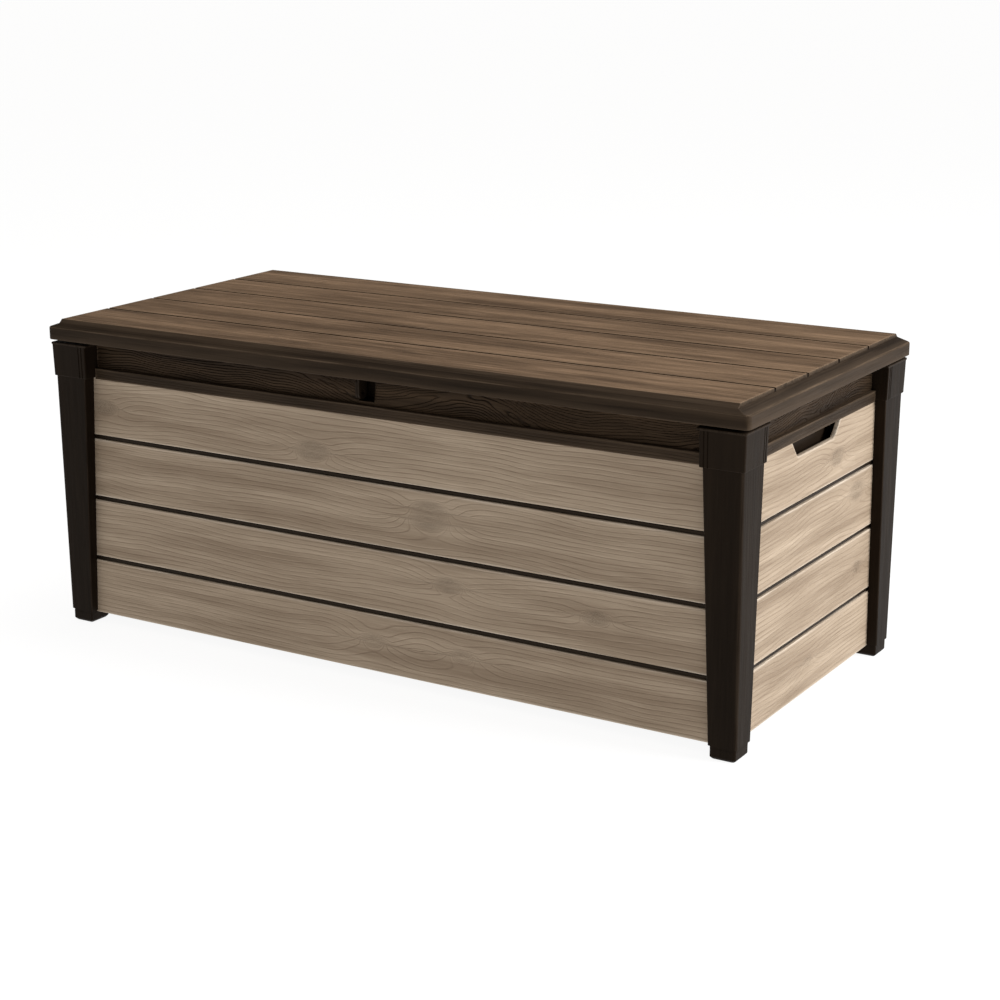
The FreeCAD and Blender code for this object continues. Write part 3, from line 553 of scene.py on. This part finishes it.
def leg(side, end):
    """A tapered leg with a soft outer edge."""
    outer, start, low, high = corner_frame(side, end, "leg")
    foot_outer, foot_start, _, _ = corner_frame(side, end, "foot")
    sections = []
    for part in np.linspace(0, 1, 40):
        out = [foot + FOOT_STEP + (top - foot - FOOT_STEP) * part for foot, top in zip(foot_outer, outer)]
        begin = [
            foot - FOOT_STEP + (top - foot + FOOT_STEP) * part for foot, top in zip(foot_start, start)
        ]
        sections.append(angle_section(out, begin, PLANK_FACE, LEG_ROUNDS, low + (high - low) * part))
    piece = loft(f"{end}_{side}_leg_wood", mirrored_to(side, end, sections), wear_and_highlight=leg_edge_highlight(sections))
    paint(piece, leg_wood[Z_GRAIN])
    stands_for(piece, "box", "dark_resin", f"{end}_{side}_leg")


def leg_edge_highlight(sections):
    """Painted highlight: paler along the arcs of the flange ends and the outer edge, where the rounded edges
    catch the light.
    """
    count = len(sections[0])
    arc = np.zeros(count)
    steps = count // 6
    for corner in (1, 2, 3):
        arc[corner * steps + 1:(corner + 1) * steps - 1] = 0.55
    return np.tile(arc, (len(sections), 1))


def cap(side, end):
    """The cap over a leg: drafted faces with grooves, a rolled rim and a rounded lower edge."""
    outer, start, low, high = corner_frame(side, end, "corner_cap")
    rim, rim_in, draft = 1 * MM, 5 * MM, 1.5 * MM
    panel = (PLANK_FACE[0] - PLANK_THICKNESS, PLANK_FACE[1] - PLANK_THICKNESS)
    face = (outer[0] - rim, outer[1] - rim)
    edge = (start[0] + rim_in, start[1] + rim_in)
    tall = high - low
    rim_low = tall - 4.2 * MM
    levels = [
        (0.0, -draft - 1.2 * MM, 0.0),
        (0.4 * MM, -draft - 0.4 * MM, 0.0),
        (1.2 * MM, -draft, 1.0),
        (30 * MM, -draft / 2, 1.0),
        (tall - 5 * MM, -0.1 * MM, 1.0),
        (tall - 4.4 * MM, 0.0, 0.0),
        (tall - 4 * MM, rim - 0.3 * MM, 0.0),
        (tall - 3 * MM, rim, 0.0),
        (tall - 1 * MM, rim, 0.0),
        (tall - 0.2 * MM, rim - 0.8 * MM, 0.0),
        (tall, -0.6 * MM, 0.0),
    ]
    sections, wear_and_highlight = [], []
    for rise, out, grooved in levels:
        reach = (face[0] + out, face[1] + out)
        over_rim = rim_in if rise > rim_low else 0.0
        begin = (edge[0] - over_rim, edge[1] - over_rim)
        section = cap_section(reach, begin, panel, 1.5 * MM * grooved, low + rise, edge)
        sections.append(section)
        # Painted highlight on the rolled rim and the rounded lower edge; the drafted faces a little paler
        # all over.
        cap_highlight = 0.8 if rise > rim_low or rise < 1 * MM else 0.12
        wear_and_highlight.append([cap_highlight] * len(section))
    piece = loft(f"{end}_{side}_corner_cap_wood", mirrored_to(side, end, sections), wear_and_highlight=wear_and_highlight)
    paint(piece, leg_wood[Z_GRAIN])
    stands_for(piece, "box", "dark_resin", f"{end}_{side}_corner_cap")


def cap_section(reach, begin, panel, sunk, z, edge):
    """An angle whose two outer faces each have two grooves near their inner ends."""
    corners, radii = [(begin[0], panel[1]), (begin[0], reach[1])], [0.6 * MM, 2 * MM]
    for step in (1, 2):
        here = edge[0] + step * CAP_GROOVE_PITCH
        corners += [(here, reach[1]), (here + 0.5 * MM, reach[1] - sunk)]
        corners += [(here + 2 * MM, reach[1] - sunk), (here + 2.5 * MM, reach[1])]
        radii += [0.3 * MM] * 4
    corners.append((reach[0], reach[1]))
    radii.append(4 * MM)
    for step in (2, 1):
        here = edge[1] + step * CAP_GROOVE_PITCH
        corners += [(reach[0], here + 2.5 * MM), (reach[0] - sunk, here + 2 * MM)]
        corners += [(reach[0] - sunk, here + 0.5 * MM), (reach[0], here)]
        radii += [0.3 * MM] * 4
    corners += [(reach[0], begin[1]), (panel[0], begin[1]), (panel[0], panel[1])]
    radii += [2 * MM, 0.6 * MM, 0.5 * MM]
    return [(point.x, point.y, z) for point in rounded_polygon(corners, radii, 4)]


def foot(side, end):
    """A square foot, stepped in from the leg and chamfered round its base."""
    outer, start, low, high = corner_frame(side, end, "foot")
    sections = []
    for rise, inset in ((0.0, 4.2), (0.6, 3.4), (3.8, 0.5), (4.8, 0.0), (19.4, 0.0), (19.9, 0.4)):
        step = inset * MM
        corners = [
            (start[0] + step, start[1] + step), (outer[0] - step, start[1] + step),
            (outer[0] - step, outer[1] - step), (start[0] + step, outer[1] - step),
        ]
        flat = rounded_polygon(corners, (3 * MM, 3 * MM, 5 * MM, 3 * MM), 6)
        sections.append([(point.x, point.y, low + rise * MM) for point in flat])
    block = loft(f"{end}_{side}_foot_block", mirrored_to(side, end, sections))
    neck = []
    for z in (low + 19 * MM, high):
        neck.append(angle_section(outer, start, PLANK_FACE, LEG_ROUNDS, z))
    collar = loft(f"{end}_{side}_foot_neck", mirrored_to(side, end, neck))
    for piece in (block, collar):
        paint(piece, leg_wood[Z_GRAIN])
        stands_for(piece, "box", "dark_resin", f"{end}_{side}_foot")


# ---------------------------------------------------------------- lid

(_, _, LIP_LOW), (LID_END, LID_BACK, LID_TOP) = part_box("lid_shell")
LIP_TOP, BEVEL_TOP = 0.588, 0.596
BEVEL_END, BEVEL_MID, BEVEL_FRONT = 0.024, 0.0085, 0.016
LID_CORNER = 0.010
GROOVE = 0.006
PLANK_PITCH = 0.133
LID_PLANKS = 5
CORNER_STEPS = 8
RUN_STEPS = 24


def lid_planks():
    """Five brushed planks on top of the lid, running to a notched step at each end."""
    half = LID_END - BEVEL_END
    for number in range(LID_PLANKS):
        low = (number - 2.5) * PLANK_PITCH + GROOVE / 2
        high = (number - 1.5) * PLANK_PITCH - GROOVE / 2
        if number == 0:
            low = -(LID_BACK - BEVEL_FRONT)
        if number == LID_PLANKS - 1:
            high = LID_BACK - BEVEL_FRONT
        name = f"lid_plank_{number + 1}"
        spots = [
            (a, (low + high) / 2 + b, r)
            for a, b, r in knots_for(name, 2 * half, high - low, 3, 0.006)
        ]

        def place(points):
            return np.stack([points[..., 0], points[..., 2], points[..., 1]], axis=-1)

        piece = board(
            f"{name}_wood", 2 * half, low, level(high), LID_TOP, BEVEL_TOP, 1.1 * MM,
            lambda along, across: grain_rings(along, across, name, 0.006, 0.006, spots),
            0.22 * MM, (4.5 * MM, 0.02), place,
        )
        for material in (top_wood, groove_shade_resin, end_wood):
            piece.data.materials.append(material)
        # The upright sides in the grooves take the darker resin as painted shade.
        for face in piece.data.polygons:
            upright = face.normal.z < 0.8 and face.center.z < LID_TOP - 0.5 * MM
            on_end = abs(face.normal.x) > abs(face.normal.y)
            face.material_index = (2 if on_end else 1) if upright else 0
        stands_for(piece, "lid", "lid_resin", "lid_shell")


def rim_stations():
    """Round the lid's corners: (lip point, outward direction, bevel point, step, corner number)."""
    stations = []
    inner_x, inner_y = LID_END - BEVEL_END, LID_BACK - BEVEL_MID
    straight_x, straight_y = LID_END - LID_CORNER, LID_BACK - LID_CORNER
    for index, (sx, sy) in enumerate(((1, -1), (1, 1), (-1, 1), (-1, -1))):
        for step in range(CORNER_STEPS + 1):
            turn = math.radians(-90 + 90 * index + 90 * step / CORNER_STEPS)
            normal = (math.cos(turn), math.sin(turn))
            lip = (sx * straight_x + LID_CORNER * normal[0], sy * straight_y + LID_CORNER * normal[1])
            stations.append((lip, normal, (sx * inner_x, sy * inner_y), step, index))
    return stations


def rim_section(lip, normal, inner, on_long_side):
    """The lid's edge in section: skirt, lip, bevel and the inside under them."""
    inward = Vector((inner[0] - lip[0], inner[1] - lip[1]))

    def at(distance, z):
        return (lip[0] - normal[0] * distance, lip[1] - normal[1] * distance, z)

    def toward(part, z):
        return (lip[0] + inward.x * part, lip[1] + inward.y * part, z)

    rise = BEVEL_TOP - LIP_TOP
    top_y = math.copysign(LID_BACK - BEVEL_FRONT, inner[1])
    ridge = (inner[0], top_y, LID_TOP) if on_long_side else (inner[0], inner[1], BEVEL_TOP)
    under = (inner[0], top_y, BEVEL_TOP - 1 * MM)
    return [
        at(1.4 * MM, LIP_LOW), at(0.5 * MM, LIP_LOW + 0.4 * MM), at(0, LIP_LOW + 1.3 * MM),
        at(0, LIP_LOW + 12 * MM), at(0, LIP_TOP - 2.2 * MM), at(0.3 * MM, LIP_TOP - 0.9 * MM),
        toward(0.07, LIP_TOP + 0.05 * rise), toward(0.16, LIP_TOP + 0.16 * rise),
        toward(0.58, LIP_TOP + 0.58 * rise), toward(0.97, LIP_TOP + 0.97 * rise),
        (inner[0], inner[1], BEVEL_TOP), ridge, under, at(6 * MM, BEVEL_TOP - 4 * MM - rise),
        at(4 * MM, LIP_TOP - 6 * MM), at(4 * MM, LIP_LOW + 0.4 * MM), at(3.4 * MM, LIP_LOW),
    ]


# How far each point of the rim's section is mixed towards the paler tone: wear and painted highlight along
# the lip and bevel edges.
LID_RIM_WEAR_AND_HIGHLIGHT = [0.75, 0.6, 0.35, 0.0, 0.15, 0.9, 1.0, 0.35, 0.0, 0.0, 0.25, 0.6, 0, 0, 0, 0, 0]


def lid_rim():
    """The dark frame round the lid, with rounded lips and mitred bevels."""
    sections = []
    stations = rim_stations()
    for number, (lip, normal, inner, step, index) in enumerate(stations):
        on_long = (step == 0) if index in (0, 2) else (step == CORNER_STEPS)
        sections.append(rim_section(lip, normal, inner, on_long))
        if step == CORNER_STEPS:
            following = stations[(number + 1) % len(stations)]
            start = rim_section(lip, normal, inner, on_long)
            end = rim_section(following[0], following[1], following[2], on_long)
            for count in range(1, RUN_STEPS):
                part = count / RUN_STEPS
                sections.append([
                    tuple(a + (b - a) * part for a, b in zip(p, q)) for p, q in zip(start, end)
                ])
    wear_and_highlight = [LID_RIM_WEAR_AND_HIGHLIGHT] * len(sections)
    piece = loft("lid_rim", sections, closed=True, wear_and_highlight=wear_and_highlight)
    piece.data.materials.append(rim_wood[X_GRAIN])
    piece.data.materials.append(rim_wood[Y_GRAIN])
    for face in piece.data.polygons:
        middle = face.center
        on_end = LID_END - abs(middle.x) < (LID_BACK - abs(middle.y)) * BEVEL_END / BEVEL_MID
        on_end = on_end and abs(middle.x) > LID_END - BEVEL_END - 1 * MM
        face.material_index = 1 if on_end else 0
    stands_for(piece, "lid", "lid_resin", "lid_shell")


def lid_deck():
    """The dark sheet under the planks, which shows in the grooves: painted shade for the grooves."""
    half_x, half_y = LID_END - BEVEL_END - 0.2 * MM, LID_BACK - BEVEL_FRONT - 0.5 * MM
    sections = []
    for z, inset in ((0.5935, 0.6), (0.594, 0.1), (0.5975, 0.0), (0.598, 0.4)):
        step = inset * MM
        corners = [
            (-half_x + step, -half_y + step), (half_x - step, -half_y + step),
            (half_x - step, half_y - step), (-half_x + step, half_y - step),
        ]
        flat = rounded_polygon(corners, (1 * MM,) * 4, 3)
        sections.append([(point.x, point.y, z) for point in flat])
    piece = loft("lid_deck", sections)
    paint(piece, groove_shade_resin)
    stands_for(piece, "lid", "lid_resin", "lid_shell")


# ---------------------------------------------------------------- nodes kept from the frame

def kept_nodes():
    """Materials for the CAD nodes that still show, with a small bevel on their edges."""
    finishes = (
        ("strut_cylinder", black), ("strut_rod", chrome), ("strut_wall_bracket", steel),
        ("strut_lid_tab", steel), ("hinge_pins", steel), ("screws", steel),
    )
    for name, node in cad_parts.items():
        finish = next((material for ending, material in finishes if name.endswith(ending)), resin)
        for slot in node.material_slots:
            slot.material = finish
        soft = node.modifiers.new("soft_edges", "BEVEL")
        soft.width = 0.4 * MM
        soft.segments = 2
        soft.limit_method = "ANGLE"


# ---------------------------------------------------------------- studio

FLOOR_REACH = 30.0
FLOOR_GREY, FLOOR_GLOW = 0.15, 0.92
SURROUND, SURROUND_STRENGTH = (1.0, 0.96, 0.91, 1), 0.28


def studio():
    """White floor and surround, a strong key from the right and softer light from above."""
    floor = bpy.data.objects.new("floor", bpy.data.meshes.new("floor"))
    reach = FLOOR_REACH
    corners = [(-reach, -reach, 0), (reach, -reach, 0), (reach, reach, 0), (-reach, reach, 0)]
    floor.data.from_pydata(corners, [], [(0, 1, 2, 3)])
    bpy.context.collection.objects.link(floor)
    made = Nodes("white_floor")
    made.shader.inputs["Base Color"].default_value = (FLOOR_GREY, FLOOR_GREY, FLOOR_GREY, 1)
    made.shader.inputs["Roughness"].default_value = 0.9
    made.shader.inputs["Emission Color"].default_value = (1, 1, 1, 1)
    made.shader.inputs["Emission Strength"].default_value = FLOOR_GLOW
    floor.data.materials.append(made.material)
    world = bpy.data.worlds.new("surround")
    world.use_nodes = True
    background = world.node_tree.nodes["Background"]
    background.inputs["Color"].default_value = SURROUND
    background.inputs["Strength"].default_value = SURROUND_STRENGTH
    bpy.context.scene.world = world
    lamp("key_right", (5.0, 1.0, 2.6), (0.0, 0.0, 0.3), 280.0, 2.2)
    lamp("soft_top", (0.6, 0.9, 4.5), (0.0, 0.0, 0.5), 100.0, 3.0)


def lamp(name, place, target, power, size):
    """A square soft light aimed at a point."""
    light = bpy.data.lights.new(name, "AREA")
    light.energy = power
    light.size = size
    lamp_object = bpy.data.objects.new(name, light)
    lamp_object.location = place
    aim = Vector(target) - Vector(place)
    lamp_object.rotation_euler = aim.to_track_quat("-Z", "Y").to_euler()
    bpy.context.collection.objects.link(lamp_object)


def camera():
    """A long lens above the right front corner."""
    data = bpy.data.cameras.new("camera")
    data.lens = 77.55
    data.sensor_width = 36.0
    data.shift_x = 0.06
    data.clip_end = 100.0
    eye = bpy.data.objects.new("camera", data)
    eye.location = (2.0753, -3.3484, 1.3501)
    yaw, pitch, roll = -0.569, -0.268, -0.006
    tilt = Matrix.Rotation(roll, 3, "Z")
    turned = Euler((math.pi / 2 + pitch, 0, -yaw), "XYZ").to_matrix() @ tilt
    eye.rotation_euler = turned.to_euler()
    bpy.context.collection.objects.link(eye)
    bpy.context.scene.camera = eye


bpy.context.scene.view_settings.view_transform = "Standard"
camera()
studio()
kept_nodes()
wall_planks()
rails_and_ledges()
for side, end in CORNERS:
    leg(side, end)
    cap(side, end)
    foot(side, end)
lid_deck()
lid_planks()
lid_rim()
